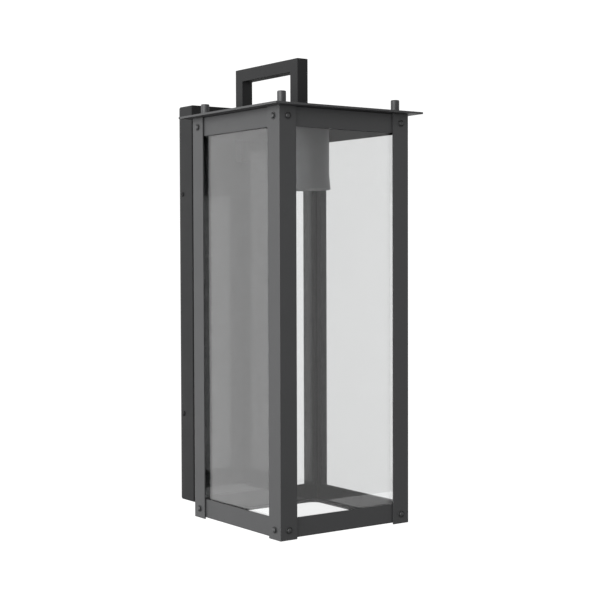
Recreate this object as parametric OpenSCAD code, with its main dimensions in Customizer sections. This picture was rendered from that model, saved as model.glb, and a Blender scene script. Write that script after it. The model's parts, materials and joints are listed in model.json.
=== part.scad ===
// Outdoor wall lantern: a glazed case of angle-section posts hangs from a square arm on a wall pan.
// The origin is the middle of the pan's wall side. +X is right, +Y goes into the wall, +Z is up.

/* [Glazed case] */
// Width of the case over its corner posts
case_w = 157; // [130:1:190]
// Depth of the case over its corner posts, front to back
case_d = 156; // [130:1:190]
// Length of the corner posts
post_len = 410; // [340:1:500]
// Leg width of the angle-section posts
post_leg = 19.5; // [17:0.5:24]
// Metal thickness of the posts
post_t = 1.5; // [1.2:0.1:2]
// Height of the folded rails at the top and bottom of the case
rail_h = 19; // [16:0.5:26]
// Sheet thickness of the two folded frames
rail_t = 1.5; // [1.2:0.1:2]
// How far the posts' feet stand below the bottom frame
foot_drop = 1.4; // [0.5:0.1:4]
// Width of the frames' flat flange, from the rail's outer face
flange_w = 11; // [10:0.5:14]
// Corner radius of the opening in each frame
opening_r = 10; // [6:0.5:14]

/* [Glass] */
// Thickness of the glass panes
glass_t = 3; // [2:0.5:4]
// Thickness of the glazing tape between the metal and the glass
tape_t = 0.5; // [0.3:0.1:1]
// Width of the glazing tape along the posts
tape_w = 5; // [4:0.5:8]
// Gap between a side pane's edge and the pane across it
glass_gap = 0.4; // [0.2:0.1:1]

/* [Rivets] */
// Diameter of a rivet's domed head
rivet_head_d = 7; // [5:0.1:8]
// Height of a rivet's domed head
rivet_head_h = 2; // [1:0.1:2.5]
// Diameter of a rivet's shank
rivet_shank_d = 3.2; // [2.4:0.1:4]
// Distance from a post's end to the rivets
rivet_from_end = 9.5; // [8:0.5:12]

/* [Roof and finials] */
// How far the roof plate stands out past the posts, all round
roof_overhang = 10.5; // [6:0.5:20]
// Thickness of the roof plate
roof_t = 2; // [1.5:0.1:3]
// Diameter of a finial's knob
finial_d = 8.6; // [7:0.1:10]
// Height of a finial's knob
finial_h = 12.3; // [8:0.1:20]
// Distance from the posts' outer faces to a finial's axis
finial_inset = 9.4; // [8.5:0.1:11]
// Diameter of a finial's threaded stud
stud_d = 4; // [3:0.5:5]
// Width of a weld nut across its flats
nut_af = 7; // [6:0.5:8]
// Thickness of a weld nut
nut_t = 3.2; // [2.4:0.1:4]

/* [Hanging arm] */
// Side of the arm's square tube
arm_w = 13; // [12:0.5:16]
// Wall thickness of the arm's tube
arm_t = 1.5; // [1:0.1:1.5]
// Height of the arm above the roof
arm_rise = 56; // [40:1:90]
// How far the arm's rear leg reaches down the front of the wall pan
arm_tail = 58; // [50:1:90]
// Diameter of the hollow stem that ties the arm, roof and cup together
stem_d = 8; // [7:0.5:8]
// Bore of the hollow stem
stem_bore = 5; // [4.8:0.1:5.5]

/* [Socket cup] */
// Outer diameter of the cup
cup_d = 59.4; // [50:0.2:70]
// Height of the cup
cup_h = 74; // [68:1:100]
// Metal thickness of the cup
cup_t = 1; // [0.8:0.1:1.5]
// How far the cup's lower edge flares out
cup_flare = 1.3; // [0:0.1:3]
// Height of the flared edge
cup_flare_h = 14; // [8:1:20]

/* [Lampholder] */
// Outer diameter of the porcelain body
holder_d = 38; // [34:0.5:42]
// Height of the porcelain body
holder_h = 43; // [40:1:50]
// Inner diameter of the screw shell, for a medium base lamp
shell_bore = 26.6; // [26:0.1:27]
// Metal thickness of the screw shell
shell_t = 0.6; // [0.4:0.1:0.8]
// Travel of the sprung centre contact
contact_travel = 1.5; // [1:0.1:2]

/* [Wall pan and bracket] */
// Width of the wall pan
plate_w = 124; // [110:1:150]
// Height of the wall pan
plate_h = 420; // [340:1:500]
// Depth of the wall pan with its gasket
plate_depth = 25; // [22:0.5:35]
// Sheet thickness of the wall pan
plate_t = 1.5; // [1.2:0.1:2]
// Corner radius of the wall pan
plate_r = 2.5; // [1:0.5:6]
// Thickness of the wall gasket
gasket_t = 2; // [1:0.5:3]
// Clear gap between the case and the wall pan
case_gap = 30; // [20:1:60]
// How far the posts' feet hang below the wall pan
case_drop = 8; // [0:1:30]
// Sheet thickness of the wall bracket
bracket_t = 2; // [1.5:0.1:3]
// Height of the side screws above and below the middle of the pan
side_screw_z = 117; // [90:1:140]
// Distance from the wall to the side screws
side_screw_y = 6; // [5:0.5:9]
// Spacing of the wall box slots, middle to middle
box_slot_spacing = 79.4; // [76:0.1:82]
// Length of each wall box slot, end to end
box_slot_len = 24.6; // [20:0.1:27]
// Width of each wall box slot
box_slot_w = 4.6; // [4.2:0.1:5.2]
// Spacing of the wall screw holes across the bracket
wall_hole_x = 30; // [24:1:36]
// Spacing of the wall screw holes up the bracket
wall_hole_z = 160; // [120:1:180]
// Diameter of the wall screw holes
wall_hole_d = 5; // [4:0.1:6]

/* [Hidden] */
$fn = 64;

eps = 0.01;
small_gap = 0.1;
wire_d = 2;
wire_x = 1.1;
wire_sides = 8;
bend_n = 6;

// Heights in the part's own frame
foot_z = -plate_h / 2 - case_drop;
top_z = foot_z + post_len;
roof_z = top_z + roof_t;
arm_top_z = roof_z + arm_rise;
pan_front_y = -plate_depth;
case_y = -(plate_depth + case_gap) - case_d / 2;

// Places inside the case, from the middle of its footprint and the posts' feet
half_w = case_w / 2;
half_d = case_d / 2;
rail_in = post_t + rail_t;
glass_out = rail_in + tape_t;
glass_low = foot_drop + rail_t + tape_t;
stud_tip = 1;
glass_top_clear = 1.3;
glass_high = post_len - rail_t - nut_t - stud_tip - glass_top_clear;
side_pane_len = case_d - 2 * (glass_out + glass_t + glass_gap);
end_pane_len = case_w - 2 * glass_out;
tape_reveal = 0.8;
rivet_inset = post_leg / 2;
rivet_low = rivet_from_end;
rivet_high = post_len - rivet_from_end;

// Finials
stud_clear = 0.25;
stud_fit = 0.05;
knob_gap = 0.1;
knob_chamfer = 0.6;

// Lampholder stack, downwards from the roof's underside
washer_d = 16;
washer_t = 1;
lock_nut_t = 4;
lock_nut_af = 13;
strap_t = 1.5;
strap_drop = 14;
strap_w = 14;
strap_span = 30;
strap_foot = 9;
strap_screw_d = 3;
strap_screw_head_d = 5;
strap_screw_head_h = 1.6;
strap_screw_depth = 7;
strap_screw_x = strap_span / 2 - strap_t - 4;
stack_z = post_len - cup_t - washer_t - lock_nut_t;
holder_top = stack_z - 2 * strap_t - strap_drop;
holder_low = holder_top - holder_h;
stem_proud = 1.5;
stem_low = stack_z - strap_t - stem_proud;
stem_in_arm = 12;

// Lampholder
shell_recess = 3;
shell_h = 21;
shell_low = holder_low + shell_recess;
shell_top = shell_low + shell_h;
contact_head_d = 9;
contact_head_h = 1.5;
contact_stem_d = 3;
contact_stem_up = 4;
contact_guide = 8;
contact_fit = 0.05;
contact_lift = 0.3;
contact_z = shell_top + contact_lift;
spring_wire_d = 0.6;
spring_turns = 4;
spring_r = 2.6;
spring_steps = 14;
spring_sides = 6;
spring_gap = 0.02;
spring_room = 3.7;
well_d = 18;
well_top = contact_z + contact_head_h + contact_travel + spring_room;
terminal_y = 13;
terminal_head_d = 7;
terminal_head_h = 2;
terminal_shank_d = 3.5;
terminal_depth = 8;

// Arm on the wall pan
arm_rear_y = pan_front_y - arm_w / 2;
tail_z = plate_h / 2 - arm_tail;
wire_hole_z = tail_z + arm_tail / 2;
end_cap_t = 3;
arm_screw_step = 17;
arm_screw_d = 4;
arm_screw_head_d = 7.5;
arm_screw_head_h = 2.4;
arm_screw_grip = 2;
bushing_bore = 5.4;
bushing_d = 8;
bushing_flange_d = 11;
bushing_flange_t = 1.2;

// Wall bracket and what it carries
gasket_w = 2.2;
pan_inner_r = max(plate_r - plate_t, 0.5);
bracket_side_gap = 0.8;
bracket_reach = plate_w / 2 - gasket_w - bracket_side_gap;
bracket_web = 50;
bracket_arm_h = 20;
bracket_mid_h = 40;
bracket_ear = 12;
wire_window_d = 30;
side_screw_d = 3;
side_screw_head_d = 5;
side_screw_head_h = 1.4;
side_screw_len = 7;
side_hole_clear = 0.1;
ground_x = 14;
ground_z = 40;
ground_screw_d = 4;
ground_head_d = 8;
ground_head_h = 2.2;
connector_d = 11;
connector_tip_d = 6.6;
connector_len = 22;
connector_skirt = 6.6;
connector_x = 11;
connector_y = -12;
connector_z = wire_hole_z - 40;
ground_connector_z = ground_z + 34;

function unit(v) = v / norm(v);
function arc_points(c, r, a0, a1, x) =
    [for (i = [0:bend_n]) let (a = a0 + (a1 - a0) * i / bend_n) [x, c[0] + r * cos(a), c[1] + r * sin(a)]];

// A round tube along a list of points. The side vector is never parallel to the path.
module swept_tube(points, r, sides, side_vector) {
    last = len(points) - 1;
    rings = [for (i = [0:last])
        let (
            t = unit(points[min(i + 1, last)] - points[max(i - 1, 0)]),
            u = unit(cross(t, side_vector)),
            v = cross(t, u)
        )
        for (k = [0:sides - 1]) points[i] + r * (cos(360 * k / sides) * u + sin(360 * k / sides) * v)];
    walls = [for (i = [0:last - 1], k = [0:sides - 1])
        let (a = i * sides + k, b = i * sides + (k + 1) % sides)
        [a, b, b + sides, a + sides]];
    first_cap = [for (k = [sides - 1:-1:0]) k];
    last_cap = [for (k = [0:sides - 1]) last * sides + k];
    polyhedron(points = rings, faces = concat(walls, [first_cap, last_cap]), convexity = 4);
}

module rounded_rect(w, h, r) {
    square([w - 2 * r, h], center = true);
    square([w, h - 2 * r], center = true);
    for (x = [-1, 1], y = [-1, 1]) translate([x * (w / 2 - r), y * (h / 2 - r)]) circle(r);
}

module hexagon(af) {
    circle(r = af / sqrt(3), $fn = 6);
}

// Moves a child from the case's own place, feet at zero, to the row frame
module in_case() {
    translate([0, case_y, foot_z]) children();
}

// Mirrors a child that is drawn for the right rear corner
module at_corner(side, end) {
    mirror([side < 0 ? 1 : 0, 0, 0]) mirror([0, end < 0 ? 1 : 0, 0]) children();
}

// Puts a child that is drawn on the front face, with +Y inwards, on one of the four faces
module on_front() { translate([0, -half_d, 0]) children(); }
module on_rear() { mirror([0, 1, 0]) on_front() children(); }
module on_left() { translate([-half_w, 0, 0]) rotate([0, 0, -90]) children(); }
module on_right() { mirror([1, 0, 0]) on_left() children(); }

// The rivet places of one face of the given length: a pair at one height, and all four
module at_rivet_pair(face_len) {
    for (s = [-1, 1]) translate([s * (face_len / 2 - rivet_inset), 0, 0]) children();
}

module at_rivets(face_len) {
    for (z = [rivet_low, rivet_high]) translate([0, 0, z]) at_rivet_pair(face_len) children();
}

module rivet_drill(depth) {
    translate([0, -eps, 0]) rotate([-90, 0, 0]) cylinder(d = rivet_shank_d, h = depth + 2 * eps);
}

module corner_post(side, end) {
    color("dimgray") in_case() difference() {
        at_corner(side, end) translate([half_w - post_leg, half_d - post_leg, 0])
            linear_extrude(post_len) difference() {
                square(post_leg);
                translate([-eps, -eps]) square(post_leg - post_t + eps);
            }
        on_front() at_rivets(case_w) rivet_drill(post_t);
        on_rear() at_rivets(case_w) rivet_drill(post_t);
        on_left() at_rivets(case_d) rivet_drill(post_t);
        on_right() at_rivets(case_d) rivet_drill(post_t);
    }
}

module post_front_left() { corner_post(-1, -1); }
module post_front_right() { corner_post(1, -1); }
module post_rear_left() { corner_post(-1, 1); }
module post_rear_right() { corner_post(1, 1); }

// A square ring folded from sheet: a flat flange with its opening, and four rails standing on it
module folded_frame(rivet_z) {
    w = case_w - 2 * post_t;
    d = case_d - 2 * post_t;
    difference() {
        translate([-w / 2, -d / 2, 0]) cube([w, d, rail_h]);
        translate([-w / 2 + rail_t, -d / 2 + rail_t, rail_t]) cube([w - 2 * rail_t, d - 2 * rail_t, rail_h]);
        translate([0, 0, -eps]) linear_extrude(rail_t + 2 * eps)
            rounded_rect(w - 2 * flange_w, d - 2 * flange_w, opening_r);
        on_front() translate([0, post_t, rivet_z]) at_rivet_pair(case_w) rivet_drill(rail_t);
        on_rear() translate([0, post_t, rivet_z]) at_rivet_pair(case_w) rivet_drill(rail_t);
        on_left() translate([0, post_t, rivet_z]) at_rivet_pair(case_d) rivet_drill(rail_t);
        on_right() translate([0, post_t, rivet_z]) at_rivet_pair(case_d) rivet_drill(rail_t);
    }
}

module bottom_frame() {
    color("dimgray") in_case() translate([0, 0, foot_drop]) folded_frame(rivet_from_end - foot_drop);
}

module at_finials() {
    for (s = [-1, 1], e = [-1, 1])
        translate([s * (half_w - finial_inset), e * (half_d - finial_inset), 0]) children();
}

module top_frame() {
    color("dimgray") in_case() difference() {
        translate([0, 0, post_len]) mirror([0, 0, 1]) folded_frame(rivet_from_end);
        at_finials() translate([0, 0, post_len - rail_t - eps])
            cylinder(r = stud_d / 2 + stud_clear, h = rail_t + 2 * eps);
    }
}

module roof() {
    w = case_w + 2 * roof_overhang;
    d = case_d + 2 * roof_overhang;
    color("dimgray") in_case() translate([0, 0, post_len]) difference() {
        translate([-w / 2, -d / 2, 0]) cube([w, d, roof_t]);
        at_finials() translate([0, 0, -eps]) cylinder(r = stud_d / 2 + stud_clear, h = roof_t + 2 * eps);
        translate([0, 0, -eps]) cylinder(d = stem_d, h = roof_t + 2 * eps);
    }
}

// One pane, drawn behind the front face
module pane(pane_len) {
    color([0.8, 0.86, 0.86, 0.35])
        translate([-pane_len / 2, glass_out, glass_low])
            cube([pane_len, glass_t, glass_high - glass_low]);
}

module pane_front() { in_case() on_front() pane(end_pane_len); }
module pane_rear() { in_case() on_rear() pane(end_pane_len); }
module pane_left() { in_case() on_left() pane(side_pane_len); }
module pane_right() { in_case() on_right() pane(side_pane_len); }

// The tape ring behind one face: thin over the rails, thick behind the posts, with a foot under the glass
module glazing(pane_len) {
    low = foot_drop + rail_t;
    strip_low = foot_drop + rail_h - tape_reveal;
    strip_high = post_len - rail_h + tape_reveal;
    color("black") {
        difference() {
            translate([-pane_len / 2, rail_in, low]) cube([pane_len, tape_t, glass_high - low]);
            translate([-pane_len / 2 + tape_w, rail_in - eps, strip_low])
                cube([pane_len - 2 * tape_w, tape_t + 2 * eps, strip_high - strip_low]);
        }
        translate([-pane_len / 2, rail_in, low]) cube([pane_len, tape_t + glass_t, tape_t]);
        for (s = [0, 1]) mirror([s, 0, 0])
            translate([-pane_len / 2, post_t, foot_drop + rail_h])
                cube([tape_w, rail_t, post_len - 2 * rail_h - foot_drop]);
    }
}

module glazing_front() { in_case() on_front() glazing(end_pane_len); }
module glazing_rear() { in_case() on_rear() glazing(end_pane_len); }
module glazing_left() { in_case() on_left() glazing(side_pane_len); }
module glazing_right() { in_case() on_right() glazing(side_pane_len); }

// A domed rivet whose head stands on the outer face and whose tail ends flush inside the rail
module rivet() {
    cap_r = (pow(rivet_head_d / 2, 2) + pow(rivet_head_h, 2)) / (2 * rivet_head_h);
    rotate([90, 0, 0]) intersection() {
        translate([0, 0, rivet_head_h - cap_r]) sphere(r = cap_r);
        cylinder(d = rivet_head_d, h = rivet_head_h);
    }
    rotate([-90, 0, 0]) cylinder(d = rivet_shank_d, h = rail_in);
}

module corner_rivets() {
    color("dimgray") in_case() {
        on_front() at_rivets(case_w) rivet();
        on_rear() at_rivets(case_w) rivet();
        on_left() at_rivets(case_d) rivet();
        on_right() at_rivets(case_d) rivet();
    }
}

module finial_nuts() {
    color("silver") in_case() at_finials() translate([0, 0, post_len - rail_t - nut_t])
        difference() {
            linear_extrude(nut_t) hexagon(nut_af);
            translate([0, 0, -eps]) cylinder(r = stud_d / 2 + stud_fit, h = nut_t + 2 * eps);
        }
}

module finial(side, end) {
    reach = roof_t + rail_t + nut_t + stud_tip;
    color("dimgray") in_case()
        translate([side * (half_w - finial_inset), end * (half_d - finial_inset), post_len + roof_t]) {
            translate([0, 0, knob_gap]) rotate_extrude() polygon([
                [0, 0],
                [finial_d / 2, 0],
                [finial_d / 2, finial_h - knob_chamfer],
                [finial_d / 2 - knob_chamfer, finial_h],
                [0, finial_h]]);
            translate([0, 0, -reach]) cylinder(d = stud_d, h = reach + knob_gap + eps);
        }
}

module finial_front_left() { finial(-1, -1); }
module finial_front_right() { finial(1, -1); }
module finial_rear_left() { finial(-1, 1); }
module finial_rear_right() { finial(1, 1); }

// A square bar of the given side along the arm's centre line
module arm_bar(side) {
    low_front = roof_z - (side < arm_w ? eps : 0);
    low_rear = tail_z - (side < arm_w ? eps : 0);
    high = arm_top_z - (arm_w - side) / 2;
    translate([-side / 2, case_y - side / 2, low_front]) cube([side, side, high - low_front]);
    translate([-side / 2, arm_rear_y - side / 2, low_rear]) cube([side, side, high - low_rear]);
    translate([-side / 2, case_y - side / 2, high - side]) cube([side, arm_rear_y - case_y + side, side]);
}

module hanging_arm() {
    color("dimgray") difference() {
        arm_bar(arm_w);
        arm_bar(arm_w - 2 * arm_t);
        translate([0, pan_front_y - arm_t - eps, wire_hole_z]) rotate([-90, 0, 0])
            cylinder(d = bushing_d, h = arm_t + 2 * eps);
        for (s = [-1, 1]) translate([0, pan_front_y - arm_t - eps, wire_hole_z + s * arm_screw_step])
            rotate([-90, 0, 0]) cylinder(d = arm_screw_d, h = arm_t + 2 * eps);
    }
}

module arm_plug() {
    side = arm_w - 2 * arm_t;
    color("silver") translate([0, case_y, roof_z]) difference() {
        translate([-side / 2, -side / 2, 0]) cube([side, side, stem_in_arm]);
        translate([0, 0, -eps]) cylinder(d = stem_d, h = stem_in_arm + 2 * eps);
    }
}

module arm_end_cap() {
    side = arm_w - 2 * arm_t;
    color("dimgray") translate([-side / 2, arm_rear_y - side / 2, tail_z]) cube([side, side, end_cap_t]);
}

module arm_screws() {
    color("silver") for (s = [-1, 1])
        translate([0, pan_front_y, wire_hole_z + s * arm_screw_step]) rotate([-90, 0, 0]) {
            translate([0, 0, plate_t]) cylinder(d = arm_screw_head_d, h = arm_screw_head_h);
            translate([0, 0, -arm_t - arm_screw_grip])
                cylinder(d = arm_screw_d, h = arm_t + arm_screw_grip + plate_t + eps);
        }
}

module wire_bushing() {
    color("black") translate([0, pan_front_y, wire_hole_z]) rotate([-90, 0, 0]) difference() {
        union() {
            translate([0, 0, -arm_t]) cylinder(d = bushing_d, h = arm_t + plate_t + eps);
            translate([0, 0, plate_t]) cylinder(d = bushing_flange_d, h = bushing_flange_t);
        }
        translate([0, 0, -arm_t - eps])
            cylinder(d = bushing_bore, h = arm_t + plate_t + bushing_flange_t + 2 * eps);
    }
}

module stem() {
    color("silver") in_case() translate([0, 0, stem_low]) difference() {
        cylinder(d = stem_d, h = post_len + roof_t + stem_in_arm - stem_low);
        translate([0, 0, -eps])
            cylinder(d = stem_bore, h = post_len + roof_t + stem_in_arm - stem_low + 2 * eps);
    }
}

module lock_washer() {
    color("silver") in_case() translate([0, 0, post_len - cup_t - washer_t]) difference() {
        cylinder(d = washer_d, h = washer_t);
        translate([0, 0, -eps]) cylinder(d = stem_d, h = washer_t + 2 * eps);
    }
}

module lock_nut() {
    color("silver") in_case() translate([0, 0, stack_z]) difference() {
        linear_extrude(lock_nut_t) hexagon(lock_nut_af);
        translate([0, 0, -eps]) cylinder(d = stem_d, h = lock_nut_t + 2 * eps);
    }
}

// A drawn cup, closed at the top and flared at its lower edge
module socket_cup() {
    r = cup_d / 2;
    color("gray") in_case() translate([0, 0, post_len - cup_h]) rotate_extrude($fn = 96) polygon([
        [stem_d / 2, cup_h],
        [stem_d / 2, cup_h - cup_t],
        [r - cup_t, cup_h - cup_t],
        [r - cup_t, cup_flare_h],
        [r - cup_t + cup_flare, 0],
        [r + cup_flare, 0],
        [r, cup_flare_h],
        [r, cup_h]]);
}

// A strap bent down at both ends, with feet that stand on the porcelain
module lampholder_bracket() {
    color("silver") in_case() difference() {
        union() {
            translate([-strap_span / 2, -strap_w / 2, stack_z - strap_t])
                cube([strap_span, strap_w, strap_t]);
            for (s = [0, 1]) mirror([s, 0, 0]) {
                translate([strap_span / 2 - strap_t, -strap_w / 2, holder_top])
                    cube([strap_t, strap_w, stack_z - holder_top - strap_t + eps]);
                translate([strap_span / 2 - strap_foot, -strap_w / 2, holder_top])
                    cube([strap_foot, strap_w, strap_t]);
            }
        }
        translate([0, 0, stack_z - strap_t - eps])
            cylinder(d = stem_d, h = strap_t + 2 * eps);
        for (s = [-1, 1]) translate([s * strap_screw_x, 0, holder_top - eps])
            cylinder(d = strap_screw_d, h = strap_t + 2 * eps);
    }
}

module bracket_screws() {
    color("silver") in_case() for (s = [-1, 1]) translate([s * strap_screw_x, 0, holder_top]) {
        translate([0, 0, strap_t]) cylinder(d = strap_screw_head_d, h = strap_screw_head_h);
        translate([0, 0, -strap_screw_depth])
            cylinder(d = strap_screw_d, h = strap_screw_depth + strap_t + eps);
    }
}

module lampholder_body() {
    color("white") in_case() difference() {
        translate([0, 0, holder_low]) cylinder(d = holder_d, h = holder_h);
        translate([0, 0, holder_low - eps])
            cylinder(d = shell_bore + 2 * shell_t, h = shell_recess + shell_h + eps);
        translate([0, 0, shell_top - eps]) cylinder(d = well_d, h = well_top - shell_top + eps);
        translate([0, 0, well_top - eps])
            cylinder(r = contact_stem_d / 2 + contact_fit, h = contact_guide + eps);
        for (s = [-1, 1]) {
            translate([0, s * terminal_y, holder_top - terminal_depth])
                cylinder(d = terminal_shank_d, h = terminal_depth + eps);
            translate([s * strap_screw_x, 0, holder_top - strap_screw_depth])
                cylinder(d = strap_screw_d, h = strap_screw_depth + eps);
        }
    }
}

module screw_shell() {
    color("goldenrod") in_case() translate([0, 0, shell_low]) difference() {
        cylinder(d = shell_bore + 2 * shell_t, h = shell_h);
        translate([0, 0, -eps]) cylinder(d = shell_bore, h = shell_h - shell_t + eps);
        cylinder(d = well_d, h = shell_h + eps);
    }
}

// The sprung button that meets the lamp's centre contact
module centre_contact() {
    color("goldenrod") in_case() translate([0, 0, contact_z]) {
        cylinder(d = contact_head_d, h = contact_head_h);
        cylinder(d = contact_stem_d, h = well_top - contact_z + contact_stem_up);
    }
}

module contact_spring() {
    low = contact_z + contact_head_h + spring_wire_d / 2 + spring_gap;
    high = well_top - spring_wire_d / 2 - spring_gap;
    total = spring_turns * spring_steps;
    color("silver") in_case() swept_tube(
        [for (i = [0:total]) let (a = 360 * i / spring_steps)
            [spring_r * cos(a), spring_r * sin(a), low + (high - low) * i / total]],
        spring_wire_d / 2, spring_sides, [0, 0, 1]);
}

module terminal_screws() {
    color("goldenrod") in_case() for (s = [-1, 1]) translate([0, s * terminal_y, holder_top]) {
        cylinder(d = terminal_head_d, h = terminal_head_h);
        translate([0, 0, -terminal_depth]) cylinder(d = terminal_shank_d, h = terminal_depth + eps);
    }
}

// A shallow pan, open towards the wall
module wall_pan() {
    color("dimgray") difference() {
        translate([0, -gasket_t, 0]) rotate([90, 0, 0])
            linear_extrude(plate_depth - gasket_t) rounded_rect(plate_w, plate_h, plate_r);
        translate([0, -gasket_t + eps, 0]) rotate([90, 0, 0])
            linear_extrude(plate_depth - gasket_t - plate_t + eps)
                rounded_rect(plate_w - 2 * plate_t, plate_h - 2 * plate_t, pan_inner_r);
        translate([0, pan_front_y - eps, wire_hole_z]) rotate([-90, 0, 0])
            cylinder(d = bushing_d, h = plate_t + 2 * eps);
        for (s = [-1, 1]) {
            translate([0, pan_front_y - eps, wire_hole_z + s * arm_screw_step]) rotate([-90, 0, 0])
                cylinder(d = arm_screw_d, h = plate_t + 2 * eps);
            translate([-plate_w / 2 - eps, -side_screw_y, s * side_screw_z]) rotate([0, 90, 0])
                cylinder(r = side_screw_d / 2 + side_hole_clear, h = plate_w + 2 * eps);
        }
    }
}

module wall_gasket() {
    color("black") rotate([90, 0, 0]) linear_extrude(gasket_t) difference() {
        rounded_rect(plate_w, plate_h, plate_r);
        rounded_rect(plate_w - 2 * gasket_w, plate_h - 2 * gasket_w, pan_inner_r);
    }
}

// One sheet: a web with three arms, slots for a wall box, and ears for the side screws
module wall_bracket() {
    color("silver") difference() {
        union() {
            translate([-bracket_web / 2, -bracket_t, -side_screw_z])
                cube([bracket_web, bracket_t, 2 * side_screw_z]);
            translate([-bracket_reach, -bracket_t, -bracket_mid_h / 2])
                cube([2 * bracket_reach, bracket_t, bracket_mid_h]);
            for (s = [-1, 1]) translate([0, 0, s * side_screw_z]) {
                translate([-bracket_reach, -bracket_t, -bracket_arm_h / 2])
                    cube([2 * bracket_reach, bracket_t, bracket_arm_h]);
                for (e = [0, 1]) mirror([e, 0, 0])
                    translate([bracket_reach - bracket_t, -bracket_ear, -bracket_arm_h / 2])
                        cube([bracket_t, bracket_ear, bracket_arm_h]);
            }
        }
        translate([0, eps, 0]) rotate([90, 0, 0]) linear_extrude(bracket_t + 2 * eps) {
            circle(d = wire_window_d);
            for (s = [-1, 1]) translate([s * box_slot_spacing / 2, 0])
                rounded_slot(box_slot_len, box_slot_w);
            for (x = [-1, 1], z = [-1, 1]) translate([x * wall_hole_x / 2, z * wall_hole_z / 2])
                circle(d = wall_hole_d);
            translate([ground_x, ground_z]) circle(d = ground_screw_d);
        }
        for (s = [-1, 1]) translate([-bracket_reach - eps, -side_screw_y, s * side_screw_z])
            rotate([0, 90, 0]) cylinder(d = side_screw_d, h = 2 * bracket_reach + 2 * eps);
    }
}

module rounded_slot(length, width) {
    square([length - width, width], center = true);
    for (s = [-1, 1]) translate([s * (length - width) / 2, 0]) circle(d = width);
}

module side_screws() {
    color("gray") for (z = [-1, 1], e = [0, 1]) mirror([e, 0, 0])
        translate([plate_w / 2, -side_screw_y, z * side_screw_z]) rotate([0, 90, 0]) {
            cylinder(d = side_screw_head_d, h = side_screw_head_h);
            translate([0, 0, -side_screw_len]) cylinder(d = side_screw_d, h = side_screw_len + eps);
        }
}

module ground_screw() {
    color("green") translate([ground_x, 0, ground_z]) rotate([90, 0, 0]) {
        cylinder(d = ground_screw_d, h = bracket_t + eps);
        translate([0, 0, bracket_t]) cylinder(d = ground_head_d, h = ground_head_h);
    }
}

// A lead runs from a terminal up the stem, along the arm and down to a connector in the pan
function lead_route(side, end) = let (
    x = side * wire_x,
    bend = 4,
    turn = 3.4,
    low_y = case_y + end * (terminal_y - terminal_head_d / 2 - wire_d / 2 - small_gap),
    low_z = foot_z + holder_top + small_gap,
    stem_z = foot_z + stem_low,
    top = arm_top_z - arm_w / 2,
    exit_y = pan_front_y + plate_t + bushing_flange_t
) concat(
    [[x, low_y, low_z], [x, low_y, low_z + 4], [x, low_y, low_z + 7],
     [x, case_y + end * 4, stem_z - 3.6], [x, case_y + end * 1, stem_z - 1], [x, case_y, stem_z + 2]],
    [for (i = [1:6]) [x, case_y, stem_z + 2 + (top - bend - stem_z - 4) * i / 6]],
    arc_points([case_y + bend, top - bend], bend, 180, 90, x),
    [for (i = [1:5]) [x, case_y + bend + (arm_rear_y - case_y - 2 * bend) * i / 6, top]],
    arc_points([arm_rear_y - bend, top - bend], bend, 90, 0, x),
    [for (i = [1:5]) [x, arm_rear_y, top - bend - (top - bend - wire_hole_z - turn) * i / 6]],
    arc_points([arm_rear_y + turn, wire_hole_z + turn], turn, 180, 270, x),
    [[x, exit_y, wire_hole_z],
     [x, exit_y + 3, wire_hole_z - 0.6],
     [side * 2.6, exit_y + 7, wire_hole_z - 3.4],
     [side * 4.6, exit_y + 9, wire_hole_z - 8],
     [side * 7.4, exit_y + 10, wire_hole_z - 16],
     [side * 9.8, connector_y + 0.2, wire_hole_z - 26],
     [side * connector_x, connector_y, connector_z + 6],
     [side * connector_x, connector_y, connector_z]]);

module lead_black() { color("black") swept_tube(lead_route(-1, 1), wire_d / 2, wire_sides, [1, 0, 0]); }
module lead_white() { color("white") swept_tube(lead_route(1, -1), wire_d / 2, wire_sides, [1, 0, 0]); }

// A loop from the ground screw's head up to its own connector
module ground_wire() {
    y = -bracket_t - wire_d / 2 - small_gap;
    start = ground_z + ground_head_d / 2 + small_gap;
    color("green") swept_tube(concat(
        [[ground_x, y, start], [ground_x, y, start + 4], [ground_x, y - 1.2, start + 9],
         [ground_x, y - 4.5, start + 14], [ground_x, connector_y + 1.2, start + 19],
         [ground_x, connector_y, start + 24], [ground_x, connector_y, ground_connector_z]]),
        wire_d / 2, wire_sides, [1, 0, 0]);
}

// A tapered twist-on connector with its mouth at the wire
module connector(points_up) {
    mirror([0, 0, points_up ? 0 : 1]) rotate_extrude() polygon([
        [0, 0],
        [connector_d / 2, 0],
        [connector_d / 2, connector_skirt],
        [connector_tip_d / 2, connector_len],
        [0, connector_len]]);
}

module wire_connectors() {
    color("orange") {
        for (s = [-1, 1]) translate([s * connector_x, connector_y, connector_z]) connector(false);
        translate([ground_x, connector_y, ground_connector_z]) connector(true);
    }
}

post_front_left();
post_front_right();
post_rear_left();
post_rear_right();
bottom_frame();
top_frame();
roof();
pane_front();
pane_rear();
pane_left();
pane_right();
glazing_front();
glazing_rear();
glazing_left();
glazing_right();
corner_rivets();
finial_nuts();
finial_front_left();
finial_front_right();
finial_rear_left();
finial_rear_right();
hanging_arm();
arm_plug();
arm_end_cap();
arm_screws();
wire_bushing();
stem();
lock_washer();
lock_nut();
socket_cup();
lampholder_bracket();
lampholder_body();
bracket_screws();
screw_shell();
centre_contact();
contact_spring();
terminal_screws();
wall_pan();
wall_gasket();
wall_bracket();
side_screws();
ground_screw();
lead_black();
lead_white();
ground_wire();
wire_connectors();
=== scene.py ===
"""Outdoor wall lantern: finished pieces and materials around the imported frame."""
import json
import math

import bmesh
import bpy
from mathutils import Matrix, Vector


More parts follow.
